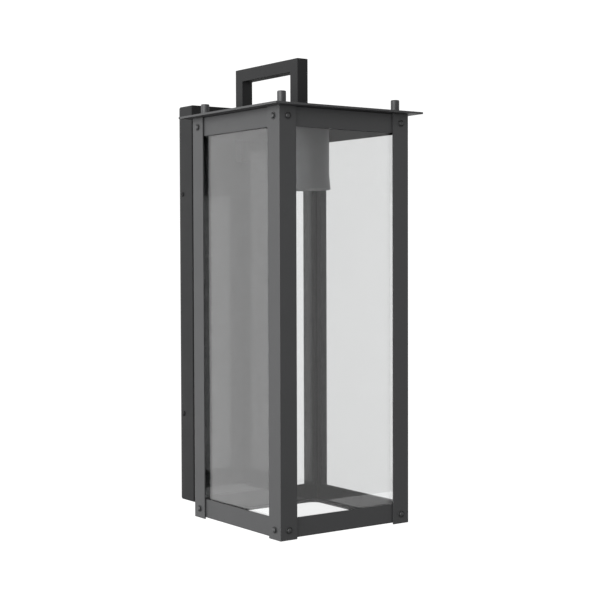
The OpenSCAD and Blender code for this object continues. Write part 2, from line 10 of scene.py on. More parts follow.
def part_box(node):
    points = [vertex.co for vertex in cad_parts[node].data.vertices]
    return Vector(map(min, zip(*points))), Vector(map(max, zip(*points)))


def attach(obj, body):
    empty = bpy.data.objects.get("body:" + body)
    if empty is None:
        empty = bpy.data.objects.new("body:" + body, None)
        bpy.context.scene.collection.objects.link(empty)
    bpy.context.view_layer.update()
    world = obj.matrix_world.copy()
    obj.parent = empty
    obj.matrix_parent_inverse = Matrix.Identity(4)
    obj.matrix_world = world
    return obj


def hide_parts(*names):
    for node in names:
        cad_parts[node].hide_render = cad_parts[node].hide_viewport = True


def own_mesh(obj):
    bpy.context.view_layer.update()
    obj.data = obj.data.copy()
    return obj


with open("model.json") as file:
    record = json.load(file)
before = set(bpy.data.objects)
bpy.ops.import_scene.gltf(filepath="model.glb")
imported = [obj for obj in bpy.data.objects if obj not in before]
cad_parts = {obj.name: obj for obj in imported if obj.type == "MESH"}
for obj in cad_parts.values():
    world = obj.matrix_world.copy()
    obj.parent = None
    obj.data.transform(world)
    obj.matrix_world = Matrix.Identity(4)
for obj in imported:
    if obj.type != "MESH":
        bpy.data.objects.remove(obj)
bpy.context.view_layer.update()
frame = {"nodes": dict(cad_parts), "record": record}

MM = 0.001
NEAR = 2e-6
UP = Vector((0, 0, 1))
FULL_TURN = 2 * math.pi
QUARTER = math.pi / 2

# Sheet and wall thicknesses, bends, and the sizes of holes and fixings
POST_T = 1.5 * MM
RAIL_T = 1.5 * MM
RAIL_H = 19 * MM
ARM_T = 1.5 * MM
PAN_T = 1.5 * MM
SHELL_T = 0.6 * MM
POST_BEND = 0.7 * MM
RAIL_BEND = 0.9 * MM
PAN_BEND = 1.1 * MM
PAN_CORNER_R = 2.5 * MM
FLANGE_W = 11 * MM
OPENING_R = 10 * MM
RIVET_FROM_END = 9.5 * MM
THREAD_PITCH = 3.63 * MM
THREAD_DEPTH = 0.75 * MM
STUD_HOLE_R = 2.25 * MM
BUSHING_HOLE_R = 4 * MM
ARM_SCREW_HOLE_R = 2 * MM
ARM_SCREW_STEP = 17 * MM


# --- Camera and light ---

def make_camera():
    place = Vector((-0.7925, -1.2432, 0.0503))
    yaw = math.radians(35.537)
    pitch = math.radians(-1.852)
    roll = math.radians(-0.182)
    ahead = Vector((math.sin(yaw) * math.cos(pitch), math.cos(yaw) * math.cos(pitch), math.sin(pitch)))
    level = Vector((math.cos(yaw), -math.sin(yaw), 0))
    upright = level.cross(ahead)
    right = math.cos(roll) * level + math.sin(roll) * upright
    above = -math.sin(roll) * level + math.cos(roll) * upright
    turn = Matrix((right, above, -ahead)).transposed()
    data = bpy.data.cameras.new("camera")
    data.sensor_width = 36
    data.lens = 80.49
    data.clip_start = 0.05
    data.clip_end = 50
    camera = bpy.data.objects.new("camera", data)
    camera.matrix_world = Matrix.Translation(place) @ turn.to_4x4()
    bpy.context.scene.collection.objects.link(camera)
    bpy.context.scene.camera = camera


def make_world():
    """Soft studio surroundings whose brightness changes smoothly with direction; white to the camera."""
    world = bpy.data.worlds.new("studio")
    bpy.context.scene.world = world
    world.use_nodes = True
    nodes = world.node_tree.nodes
    links = world.node_tree.links
    back = nodes["Background"]
    where = nodes.new("ShaderNodeTexCoord")
    turn = nodes.new("ShaderNodeMapping")
    turn.inputs["Rotation"].default_value = (0, 0, VIEW_YAW)
    split = nodes.new("ShaderNodeSeparateXYZ")
    links.new(where.outputs["Generated"], turn.inputs["Vector"])
    links.new(turn.outputs["Vector"], split.inputs[0])
    total = 0.0
    for axis, side, glow in SURROUNDINGS:
        reach = maths(nodes, links, "MULTIPLY", split.outputs[axis], side)
        facing = maths(nodes, links, "MAXIMUM", reach, 0.0)
        share = maths(nodes, links, "MULTIPLY", facing, facing)
        part = maths(nodes, links, "MULTIPLY", share, glow)
        total = maths(nodes, links, "ADD", part, total)
    seen = nodes.new("ShaderNodeLightPath")
    either = nodes.new("ShaderNodeMix")
    either.data_type = "FLOAT"
    links.new(seen.outputs["Is Camera Ray"], either.inputs["Factor"])
    links.new(total, either.inputs["A"])
    either.inputs["B"].default_value = BACKDROP_GLOW
    links.new(either.outputs["Result"], back.inputs["Strength"])
    back.inputs["Color"].default_value = (1, 1, 1, 1)


def make_floor():
    """A pale floor well below the lantern, which glows evenly so that it casts no hard light up."""
    deselect_all()
    bpy.ops.mesh.primitive_plane_add(size=FLOOR_SIZE, location=(0, 0, FLOOR_Z))
    floor = bpy.context.active_object
    floor.name = "floor"
    bpy.ops.object.transform_apply(location=True, rotation=True, scale=True)
    material, nodes, links, shader = new_material("pale_floor")
    shader.inputs["Base Color"].default_value = (0.02, 0.02, 0.02, 1)
    shader.inputs["Specular IOR Level"].default_value = 0.0
    shader.inputs["Emission Color"].default_value = (1, 1, 1, 1)
    seen = nodes.new("ShaderNodeLightPath")
    beyond = nodes.new("ShaderNodeMix")
    beyond.data_type = "FLOAT"
    beyond.inputs["A"].default_value = FLOOR_LIGHT
    beyond.inputs["B"].default_value = FLOOR_THROUGH_GLASS
    links.new(seen.outputs["Is Transmission Ray"], beyond.inputs["Factor"])
    direct = nodes.new("ShaderNodeMix")
    direct.data_type = "FLOAT"
    direct.inputs["B"].default_value = BACKDROP_GLOW
    links.new(seen.outputs["Is Camera Ray"], direct.inputs["Factor"])
    links.new(beyond.outputs["Result"], direct.inputs["A"])
    links.new(direct.outputs["Result"], shader.inputs["Emission Strength"])
    floor.data.materials.append(material)


VIEW_YAW = math.radians(35.537)
BACKDROP_GLOW = 1.1
FLOOR_LIGHT = 0.18
FLOOR_THROUGH_GLASS = 0.6
FLOOR_SIZE = 5
FLOOR_Z = -1.3
# Brightness of the surroundings, seen along the camera's view: right, left, ahead, behind, above, below
SURROUNDINGS = ((0, 1, 0.95), (0, -1, 1.8), (1, 1, 1.05), (1, -1, 0.2), (2, 1, 0.5), (2, -1, 0.22))
LEFT_LIGHT_WATTS = 42


def make_light(name, place, aim, size, power):
    data = bpy.data.lights.new(name, "AREA")
    data.shape = "RECTANGLE"
    data.size = size[0]
    data.size_y = size[1]
    data.energy = power
    light = bpy.data.objects.new(name, data)
    light.location = place
    light.rotation_euler = (Vector(aim) - Vector(place)).to_track_quat("-Z", "Y").to_euler()
    bpy.context.scene.collection.objects.link(light)
    return light


def maths(nodes, links, operation, a, b):
    node = nodes.new("ShaderNodeMath")
    node.operation = operation
    for socket, value in zip(node.inputs, (a, b)):
        if isinstance(value, (int, float)):
            socket.default_value = value
        else:
            links.new(value, socket)
    return node.outputs[0]


make_camera()
make_world()
make_light("left_softbox", (-1.5, -0.7, 0.35), (0, -0.12, 0.0), (1.2, 1.6), LEFT_LIGHT_WATTS)
bpy.context.scene.view_settings.view_transform = "Standard"


# --- Workshop ---

def deselect_all():
    bpy.ops.object.select_all(action="DESELECT")


def opened(name, size=(1, 1, 1)):
    """Names the new primitive, puts its size and place in its mesh and opens it for editing."""
    piece = bpy.context.active_object
    piece.name = name
    piece.data.name = name
    piece.scale = size
    bpy.ops.object.transform_apply(location=True, rotation=True, scale=True)
    bpy.ops.object.mode_set(mode="EDIT")
    bpy.ops.mesh.select_mode(type="VERT")
    bpy.ops.mesh.select_all(action="SELECT")
    return piece


def closed():
    bpy.ops.object.mode_set(mode="OBJECT")


def reopened(piece):
    deselect_all()
    piece.select_set(True)
    bpy.context.view_layer.objects.active = piece
    bpy.ops.object.mode_set(mode="EDIT")


def block(name, low, high):
    deselect_all()
    low = Vector(low)
    high = Vector(high)
    bpy.ops.mesh.primitive_cube_add(size=1, location=(low + high) / 2)
    return opened(name, high - low)


def panel(name, centre, width, height, turn=(0, 0, 0)):
    deselect_all()
    bpy.ops.mesh.primitive_plane_add(size=1, location=centre, rotation=turn)
    return opened(name, (width, height, 1))


def corners(part):
    return [part] if isinstance(part, bmesh.types.BMVert) else part.verts


def lies_at(part, axis, value, near=NEAR):
    return all(abs(v.co[axis] - value) < near for v in corners(part))


def pick(kind, test):
    """Selects the verts, edges or faces of the open piece that pass the test."""
    piece = bpy.context.edit_object
    bpy.ops.mesh.select_mode(type={"verts": "VERT", "edges": "EDGE", "faces": "FACE"}[kind])
    bpy.ops.mesh.select_all(action="DESELECT")
    mesh = bmesh.from_edit_mesh(piece.data)
    for part in getattr(mesh, kind):
        if test(part):
            part.select_set(True)
    mesh.select_flush_mode()
    bmesh.update_edit_mesh(piece.data)


def extrude(kind, by):
    move = {"value": by}
    if kind == "edges":
        bpy.ops.mesh.extrude_edges_move(TRANSFORM_OT_translate=move)
    else:
        bpy.ops.mesh.extrude_region_move(TRANSFORM_OT_translate=move)


def rounded(radius, segments=3, corner="EDGES"):
    bpy.ops.mesh.bevel(offset=radius, segments=segments, affect=corner, profile=0.5)


def modified(piece, kind, **settings):
    modifier = piece.modifiers.new(kind.lower(), kind)
    for key, value in settings.items():
        setattr(modifier, key, value)
    bpy.context.view_layer.objects.active = piece
    bpy.ops.object.modifier_apply(modifier=modifier.name)


def outward(centre):
    """Turns the open sheet's faces away from a point inside it."""
    bpy.ops.mesh.select_all(action="SELECT")
    bpy.ops.mesh.normals_make_consistent(inside=False)
    mesh = bmesh.from_edit_mesh(bpy.context.edit_object.data)
    mesh.normal_update()
    centre = Vector(centre)
    lean = sum(f.normal.dot(f.calc_center_median() - centre) * f.calc_area() for f in mesh.faces)
    if lean < 0:
        bpy.ops.mesh.flip_normals()


def thickened(piece, thickness):
    modified(piece, "SOLIDIFY", thickness=thickness, offset=-1, use_even_offset=True)


def softened(piece, radius, segments=2):
    modified(piece, "BEVEL", width=radius, segments=segments, limit_method="ANGLE",
             angle_limit=math.radians(38), use_clamp_overlap=True)


def copied(piece, name, matrix):
    """A copy with its own mesh, at another place."""
    copy = piece.copy()
    copy.data = piece.data.copy()
    copy.name = name
    copy.data.name = name
    copy.data.transform(matrix)
    if matrix.determinant() < 0:
        copy.data.flip_normals()
    bpy.context.scene.collection.objects.link(copy)
    return copy


def removed(piece):
    bpy.data.objects.remove(piece)


def cut(piece, cutter):
    modified(piece, "BOOLEAN", operation="DIFFERENCE", object=cutter, solver="EXACT")
    removed(cutter)


def finished(piece, body, slot, *nodes, smooth=35, coat=None):
    """Shades a piece, gives it its material and puts it on its body in place of CAD nodes."""
    deselect_all()
    piece.select_set(True)
    bpy.context.view_layer.objects.active = piece
    bpy.ops.object.shade_smooth_by_angle(angle=math.radians(smooth))
    modified(piece, "WEIGHTED_NORMAL", keep_sharp=True)
    piece.data.materials.clear()
    piece.data.materials.append(coat or MATERIALS[slot])
    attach(piece, body)
    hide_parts(*nodes)
    return piece


def turned(name, foot, profile, steps=48):
    """A turned piece: (radius, height) pairs in mm above foot, spun about a vertical axis."""
    deselect_all()
    foot = Vector(foot)
    bpy.ops.mesh.primitive_plane_add(size=MM, location=foot)
    piece = opened(name)
    bpy.ops.mesh.merge(type="CENTER")
    spots = [Vector((r, 0, z)) * MM for r, z in profile]
    bpy.ops.transform.translate(value=spots[0])
    for here, there in zip(spots, spots[1:]):
        bpy.ops.mesh.extrude_region_move(TRANSFORM_OT_translate={"value": there - here})
    bpy.ops.mesh.select_all(action="SELECT")
    bpy.ops.mesh.spin(steps=steps, angle=FULL_TURN, center=foot, axis=UP)
    bpy.ops.mesh.select_all(action="SELECT")
    bpy.ops.mesh.remove_doubles(threshold=NEAR)
    bpy.ops.mesh.normals_make_consistent(inside=False)
    closed()
    return piece


# --- Shared effects ---

def new_group(name, inputs, outputs):
    group = bpy.data.node_groups.new(name, "ShaderNodeTree")
    for socket, kind, value in inputs:
        made = group.interface.new_socket(socket, in_out="INPUT", socket_type="NodeSocket" + kind)
        if value is not None:
            made.default_value = value
    for socket, kind in outputs:
        group.interface.new_socket(socket, in_out="OUTPUT", socket_type="NodeSocket" + kind)
    return group, group.nodes.new("NodeGroupInput"), group.nodes.new("NodeGroupOutput")


def noise(nodes, links, vector, scale, detail=2.0, rough=0.5):
    node = nodes.new("ShaderNodeTexNoise")
    node.inputs["Detail"].default_value = detail
    node.inputs["Roughness"].default_value = rough
    links.new(vector, node.inputs["Vector"])
    if isinstance(scale, (int, float)):
        node.inputs["Scale"].default_value = scale
    else:
        links.new(scale, node.inputs["Scale"])
    return node.outputs["Fac"]


def ranged(nodes, links, value, low, high, to_low=0.0, to_high=1.0):
    node = nodes.new("ShaderNodeMapRange")
    node.inputs["From Min"].default_value = low
    node.inputs["From Max"].default_value = high
    node.inputs["To Min"].default_value = to_low
    node.inputs["To Max"].default_value = to_high
    links.new(value, node.inputs["Value"])
    return node.outputs["Result"]


def blended(nodes, links, factor, a, b):
    node = nodes.new("ShaderNodeMix")
    node.data_type = "RGBA"
    links.new(factor, node.inputs[0])
    for socket, value in ((node.inputs[6], a), (node.inputs[7], b)):
        if isinstance(value, tuple):
            socket.default_value = value
        else:
            links.new(value, socket)
    return node.outputs[2]


def make_grain_group():
    """Fine pimples of a coating or casting, as a height, and a broad mottle."""
    group, given, result = new_group(
        "fine_grain",
        [("Vector", "Vector", None), ("Size", "Float", 2200.0), ("Mottle Size", "Float", 60.0)],
        [("Height", "Float"), ("Mottle", "Float")])
    nodes, links = group.nodes, group.links
    pimples = noise(nodes, links, given.outputs["Vector"], given.outputs["Size"], 3.0, 0.6)
    broad = noise(nodes, links, given.outputs["Vector"], given.outputs["Mottle Size"], 4.0, 0.55)
    links.new(pimples, result.inputs["Height"])
    links.new(broad, result.inputs["Mottle"])
    return group


def make_wear_group():
    """Small scuffs scattered over a surface, as a mask."""
    group, given, result = new_group(
        "scuffs",
        [("Vector", "Vector", None), ("Size", "Float", 900.0), ("Amount", "Float", 0.2)],
        [("Mask", "Float")])
    nodes, links = group.nodes, group.links
    patches = noise(nodes, links, given.outputs["Vector"], 45.0, 2.0)
    specks = noise(nodes, links, given.outputs["Vector"], given.outputs["Size"], 3.0, 0.7)
    patch_mask = ranged(nodes, links, patches, 0.55, 0.72)
    speck_mask = ranged(nodes, links, specks, 0.6, 0.68)
    both = maths(nodes, links, "MULTIPLY", patch_mask, speck_mask)
    scaled = maths(nodes, links, "MULTIPLY", both, given.outputs["Amount"])
    links.new(scaled, result.inputs["Mask"])
    return group


def make_dust_group():
    """Thin dust that settles on faces that look up, as a mask."""
    group, given, result = new_group(
        "settled_dust",
        [("Vector", "Vector", None), ("Amount", "Float", 0.2)],
        [("Mask", "Float")])
    nodes, links = group.nodes, group.links
    surface = nodes.new("ShaderNodeNewGeometry")
    split = nodes.new("ShaderNodeSeparateXYZ")
    links.new(surface.outputs["Normal"], split.inputs[0])
    level = ranged(nodes, links, split.outputs["Z"], 0.5, 1.0)
    cloud = noise(nodes, links, given.outputs["Vector"], 70.0, 5.0, 0.65)
    drift = ranged(nodes, links, cloud, 0.35, 0.7, 0.3, 1.0)
    both = maths(nodes, links, "MULTIPLY", level, drift)
    scaled = maths(nodes, links, "MULTIPLY", both, given.outputs["Amount"])
    links.new(scaled, result.inputs["Mask"])
    return group


def make_crease_shade_group():
    """Painted shade: darkening in a piece's own grooves and inside corners, from ambient occlusion, as a
    mask.
    """
    group, given, result = new_group(
        "crevice_painted_shade",
        [("Vector", "Vector", None), ("Amount", "Float", 0.8)],
        [("Mask", "Float")])
    nodes, links = group.nodes, group.links
    hollow = nodes.new("ShaderNodeAmbientOcclusion")
    hollow.only_local = True
    hollow.samples = 8
    hollow.inputs["Distance"].default_value = 0.0012
    depth = ranged(nodes, links, hollow.outputs["AO"], 0.85, 0.35)
    cloud = noise(nodes, links, given.outputs["Vector"], 300.0, 2.0)
    patchy = ranged(nodes, links, cloud, 0.2, 0.8, 0.75, 1.0)
    both = maths(nodes, links, "MULTIPLY", depth, patchy)
    scaled = maths(nodes, links, "MULTIPLY", both, given.outputs["Amount"])
    links.new(scaled, result.inputs["Mask"])
    return group


GRAIN = make_grain_group()
CREASE_SHADE = make_crease_shade_group()
SCUFFS = make_wear_group()
DUST = make_dust_group()


# --- Materials ---

def new_material(name):
    material = bpy.data.materials.new(name)
    material.use_nodes = True
    nodes = material.node_tree.nodes
    links = material.node_tree.links
    return material, nodes, links, nodes["Principled BSDF"]


def coordinates(nodes, links, stretch=(1, 1, 1)):
    where = nodes.new("ShaderNodeTexCoord")
    mapping = nodes.new("ShaderNodeMapping")
    mapping.inputs["Scale"].default_value = stretch
    links.new(where.outputs["Object"], mapping.inputs["Vector"])
    return mapping.outputs["Vector"]


def effect(nodes, links, group, vector, **values):
    node = nodes.new("ShaderNodeGroup")
    node.node_tree = group
    links.new(vector, node.inputs["Vector"])
    for key, value in values.items():
        node.inputs[key.replace("_", " ")].default_value = value
    return node


def bumped(nodes, links, shader, height, distance, strength=1.0):
    bump = nodes.new("ShaderNodeBump")
    bump.inputs["Strength"].default_value = strength
    bump.inputs["Distance"].default_value = distance
    links.new(height, bump.inputs["Height"])
    links.new(bump.outputs["Normal"], shader.inputs["Normal"])


def shade(colour, factor):
    return tuple(c * factor for c in colour[:3]) + (1,)


def coated_metal(name, colour, rough, grain_size, grain_depth, dust=0.06, gloss=0.5):
    """Powder coat: a fine orange-peel grain, a faint mottle, scuffs, painted shade in its creases and
    settled dust.
    """
    material, nodes, links, shader = new_material(name)
    vector = coordinates(nodes, links)
    grain = effect(nodes, links, GRAIN, vector, Size=grain_size, Mottle_Size=38.0)
    scuffs = effect(nodes, links, SCUFFS, vector, Size=700.0, Amount=0.22)
    settled = effect(nodes, links, DUST, vector, Amount=dust)
    mottle = ranged(nodes, links, grain.outputs["Mottle"], 0.3, 0.7)
    base = blended(nodes, links, mottle, shade(colour, 0.86), shade(colour, 1.14))
    pimple = ranged(nodes, links, grain.outputs["Height"], 0.35, 0.65, 0.0, 0.5)
    speckled = blended(nodes, links, pimple, base, shade(colour, 1.22))
    worn = blended(nodes, links, scuffs.outputs["Mask"], speckled, shade(colour, 3.0))
    # Painted shade: the coat darkens towards 0.12 of its colour in its own creases and grooves
    crease_shade = effect(nodes, links, CREASE_SHADE, vector, Amount=0.9)
    crease_shaded = blended(nodes, links, crease_shade.outputs["Mask"], worn, shade(colour, 0.12))
    dusty = blended(nodes, links, settled.outputs["Mask"], crease_shaded, (0.33, 0.31, 0.28, 1))
    links.new(dusty, shader.inputs["Base Color"])
    uneven = ranged(nodes, links, grain.outputs["Mottle"], 0.3, 0.7, rough - 0.05, rough + 0.05)
    links.new(uneven, shader.inputs["Roughness"])
    shader.inputs["Specular IOR Level"].default_value = gloss
    bumped(nodes, links, shader, grain.outputs["Height"], grain_depth, 0.45)
    return material


def bare_metal(name, colour, rough, stretch, grain_size, cloud=0.12):
    """Plated or bare metal: drawn lines, cloudy tarnish and a few scuffs."""
    material, nodes, links, shader = new_material(name)
    vector = coordinates(nodes, links)
    lines = coordinates(nodes, links, stretch)
    grain = effect(nodes, links, GRAIN, lines, Size=grain_size, Mottle_Size=90.0)
    scuffs = effect(nodes, links, SCUFFS, vector, Size=1200.0, Amount=0.5)
    mottle = ranged(nodes, links, grain.outputs["Mottle"], 0.3, 0.7)
    base = blended(nodes, links, mottle, shade(colour, 1 - cloud), shade(colour, 1 + cloud / 2))
    worn = blended(nodes, links, scuffs.outputs["Mask"], base, shade(colour, 0.6))
    links.new(worn, shader.inputs["Base Color"])
    shader.inputs["Metallic"].default_value = 1.0
    uneven = ranged(nodes, links, grain.outputs["Height"], 0.3, 0.7, rough - 0.08, rough + 0.1)
    links.new(uneven, shader.inputs["Roughness"])
    bumped(nodes, links, shader, grain.outputs["Height"], 0.00002, 0.4)
    return material


def moulded(name, colour, rough, grain_size=2600.0, depth=0.00003, dust=0.05, coat=0.0):
    """Moulded or extruded plastic, rubber or glaze: a fine skin with faint colour drift."""
    material, nodes, links, shader = new_material(name)
    vector = coordinates(nodes, links)
    grain = effect(nodes, links, GRAIN, vector, Size=grain_size, Mottle_Size=120.0)
    settled = effect(nodes, links, DUST, vector, Amount=dust)
    mottle = ranged(nodes, links, grain.outputs["Mottle"], 0.3, 0.7)
    base = blended(nodes, links, mottle, shade(colour, 0.9), shade(colour, 1.08))
    dusty = blended(nodes, links, settled.outputs["Mask"], base, (0.4, 0.38, 0.35, 1))
    links.new(dusty, shader.inputs["Base Color"])
    uneven = ranged(nodes, links, grain.outputs["Mottle"], 0.3, 0.7, rough - 0.04, rough + 0.06)
    links.new(uneven, shader.inputs["Roughness"])
    shader.inputs["Coat Weight"].default_value = coat
    shader.inputs["Coat Roughness"].default_value = 0.08
    bumped(nodes, links, shader, grain.outputs["Height"], depth, 0.5)
    return material


def foam_tape(name, colour):
    """Closed-cell foam: small pits all over a dull skin."""
    material, nodes, links, shader = new_material(name)
    vector = coordinates(nodes, links)
    cells = nodes.new("ShaderNodeTexVoronoi")
    cells.inputs["Scale"].default_value = 2600.0
    links.new(vector, cells.inputs["Vector"])
    grain = effect(nodes, links, GRAIN, vector, Size=1800.0, Mottle_Size=80.0)
    pits = ranged(nodes, links, cells.outputs["Distance"], 0.0, 0.5)
    base = blended(nodes, links, pits, shade(colour, 0.88), shade(colour, 1.12))
    links.new(base, shader.inputs["Base Color"])
    uneven = ranged(nodes, links, grain.outputs["Mottle"], 0.3, 0.7, 0.78, 0.92)
    links.new(uneven, shader.inputs["Roughness"])
    bumped(nodes, links, shader, pits, 0.00003, 0.4)
    return material


def window_glass(name, colour):
    """Clear float glass with a faint tint and the thin film of dust that outdoor glass holds."""
    material, nodes, links, shader = new_material(name)
    vector = coordinates(nodes, links)
    film = noise(nodes, links, vector, 26.0, 4.0, 0.6)
    drift = ranged(nodes, links, film, 0.3, 0.7)
    tint = blended(nodes, links, drift, shade(colour, 0.99), shade(colour, 1.0))
    links.new(tint, shader.inputs["Base Color"])
    haze = ranged(nodes, links, film, 0.35, 0.75, 0.0, 0.012)
    links.new(haze, shader.inputs["Roughness"])
    shader.inputs["Transmission Weight"].default_value = 1.0
    shader.inputs["IOR"].default_value = 1.5
    return material


GRAPHITE = (0.026, 0.0265, 0.0275)
# The cup's grey is a slightly lighter paint than the case's, raised much further as painted light on the cup
# inside the case
CUP_GREY_WITH_PAINTED_LIGHT = (0.15, 0.151, 0.154)
MATERIALS = {
    "case_paint": coated_metal("case_paint", GRAPHITE, 0.5, 1500.0, 0.00005),
    "cup_paint": coated_metal("cup_paint", CUP_GREY_WITH_PAINTED_LIGHT, 0.5, 1500.0, 0.00005),
    "clear_glass": window_glass("clear_glass", (0.86, 0.865, 0.865)),
    "glazing_tape": foam_tape("glazing_tape", (0.04, 0.04, 0.041)),
    "gasket_rubber": moulded("gasket_rubber", (0.02, 0.02, 0.02), 0.75, 1500.0, 0.00008),
    "zinc_steel": bare_metal("zinc_steel", (0.46, 0.47, 0.49), 0.36, (1, 1, 0.08), 1800.0),
    "brass": bare_metal("brass", (0.78, 0.57, 0.26), 0.28, (0.1, 0.1, 1), 1800.0),
    "porcelain": moulded("porcelain", (0.8, 0.78, 0.73), 0.3, 500.0, 0.00003, 0.05, 0.8),
    "black_plastic": moulded("black_plastic", (0.022, 0.022, 0.022), 0.45),
    "connector_plastic": moulded("connector_plastic", (0.72, 0.2, 0.025), 0.42, 2000.0),
    "wire_black": moulded("wire_black", (0.016, 0.016, 0.016), 0.4),
    "wire_white": moulded("wire_white", (0.72, 0.71, 0.68), 0.4),
    "wire_green": moulded("wire_green", (0.02, 0.2, 0.05), 0.4),
    "green_screw": moulded("green_screw", (0.02, 0.22, 0.07), 0.32, 1800.0, 0.00003, 0.02, 0.5),
}
# The arm and the wall pan take the case's graphite paint at 0.42 of its colour, a painted shade, with a
# duller finish
MOUNT_PAINTED_SHADE_COAT = coated_metal("mount_coat_painted_shade", shade(GRAPHITE, 0.42), 0.62, 1500.0, 0.00005, 0.04, 0.2)
CAD_SLOTS = {row["node"]: row["material_slot"] for row in frame["record"]["subparts"]}


def paint_cad_nodes():
    for name, node in frame["nodes"].items():
        node.data.materials.clear()
        on_mount = name in ("arm_end_cap", "wall_pan", "hanging_arm")
        # Arm, end cap and wall pan get the darker copy of the case paint, a painted shade
        node.data.materials.append(MOUNT_PAINTED_SHADE_COAT if on_mount else MATERIALS[CAD_SLOTS[name]])


paint_cad_nodes()


# --- Case ---

def make_posts():
    """Angle posts folded from sheet, with a bend radius at the corner."""
    low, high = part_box("post_front_left")
    leg = high.x - low.x
    middle = Vector(((low.x + high.x) / 2, low.y, (low.z + high.z) / 2))
    post = panel("front_left_angle", middle, leg, high.z - low.z, (QUARTER, 0, 0))
    pick("edges", lambda e: lies_at(e, 0, low.x))
    extrude("edges", (0, leg, 0))
    outward((high.x, high.y, middle.z))
    closed()
    thickened(post, POST_T)
    reopened(post)
    pick("edges", lambda e: lies_at(e, 0, low.x) and lies_at(e, 1, low.y))
    rounded(POST_BEND, 3)
    closed()
    softened(post, 0.25 * MM)
    centre = (low + high) / 2
    for hand, quarter_turns in (("front_right", 1), ("rear_right", 2), ("rear_left", 3)):
        name = "post_" + hand
        to_low, to_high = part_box(name)
        place = Matrix.Translation((to_low + to_high) / 2)
        turn = Matrix.Rotation(quarter_turns * QUARTER, 4, "Z")
        copy = copied(post, hand + "_angle", place @ turn @ Matrix.Translation(-centre))
        finished(copy, "lantern", "case_paint", name)
    finished(post, "lantern", "case_paint", "post_front_left")


def make_frame(node, up):
    """A tray folded from sheet: a flange round a rounded opening, and four rails."""
    low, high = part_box(node)
    flat_z = low.z if up > 0 else high.z
    width, depth = high.x - low.x, high.y - low.y
    centre = Vector(((low.x + high.x) / 2, (low.y + high.y) / 2, flat_z))

    def at_side(e):
        return any(lies_at(e, axis, end[axis]) for axis in (0, 1) for end in (low, high))

    tray = panel(node.replace("frame", "tray"), centre, width - 2 * FLANGE_W, depth - 2 * FLANGE_W)
    rounded(OPENING_R, 8, "VERTICES")
    bpy.ops.mesh.select_all(action="SELECT")
    bpy.ops.mesh.delete(type="ONLY_FACE")
    bpy.ops.mesh.primitive_plane_add(size=1, location=centre)
    bpy.ops.transform.resize(value=(width, depth, 1), center_override=centre)
    bpy.ops.mesh.delete(type="ONLY_FACE")
    pick("edges", at_side)
    bpy.ops.mesh.subdivide(number_cuts=7)
    bpy.ops.mesh.select_all(action="SELECT")
    bpy.ops.mesh.bridge_edge_loops()
    pick("edges", at_side)
    extrude("edges", (0, 0, up * RAIL_H))
    outward((centre.x, centre.y, centre.z + up * RAIL_H * 3))
    closed()
    thickened(tray, RAIL_T)
    reopened(tray)
    pick("edges", lambda e: at_side(e) and lies_at(e, 2, flat_z))
    rounded(RAIL_BEND, 3)
    closed()
    softened(tray, 0.2 * MM)
    if up < 0:
        for name in FINIALS:
            axis = middle_of(name)
            cut(tray, drill("drill", axis.x, axis.y, high.z - RAIL_T, high.z, STUD_HOLE_R))
    finished(tray, "lantern", "case_paint", node)


def make_roof():
    low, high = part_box("roof")
    roof = block("roof_plate", low, high)
    closed()
    for name in FINIALS:
        axis = middle_of(name)
        cut(roof, drill("drill", axis.x, axis.y, low.z, high.z, STUD_HOLE_R))
    stem = middle_of("stem")
    cut(roof, drill("drill", stem.x, stem.y, low.z, high.z, 4 * MM))
    softened(roof, 0.35 * MM, 3)
    finished(roof, "lantern", "case_paint", "roof")


def middle_of(node):
    low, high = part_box(node)
    return (low + high) / 2


def drill_through(y, z, radius):
    """A drill that lies along the depth, as the holes from the pan into the arm do."""
    deselect_all()
    bpy.ops.mesh.primitive_cylinder_add(vertices=32, radius=radius, depth=8 * MM, location=(0, y, z),
                                        rotation=(QUARTER, 0, 0))
    bpy.ops.object.transform_apply(location=True, rotation=True, scale=True)
    return bpy.context.active_object


def bore_wire_holes(piece, y):
    """The bushing's hole and a screw hole above and below it."""
    low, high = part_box("wire_bushing")
    level = (low.z + high.z) / 2
    cut(piece, drill_through(y, level, BUSHING_HOLE_R))
    for side in (-1, 1):
        cut(piece, drill_through(y, level + side * ARM_SCREW_STEP, ARM_SCREW_HOLE_R))


def drill(name, x, y, low, high, radius):
    deselect_all()
    bpy.ops.mesh.primitive_cylinder_add(vertices=32, radius=radius, depth=high - low + 4 * MM,
                                        location=(x, y, (low + high) / 2), rotation=(0, 0, 0.05))
    bpy.ops.object.transform_apply(location=True, rotation=True, scale=True)
    return bpy.context.active_object


def make_panes():
    """Float glass with ground edges."""
    for name in ("pane_front", "pane_rear", "pane_left", "pane_right"):
        low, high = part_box(name)
        pane = block(name.replace("pane", "glass"), low, high)
        rounded(0.4 * MM, 1)
        closed()
        finished(pane, "lantern", "clear_glass", name, smooth=20)


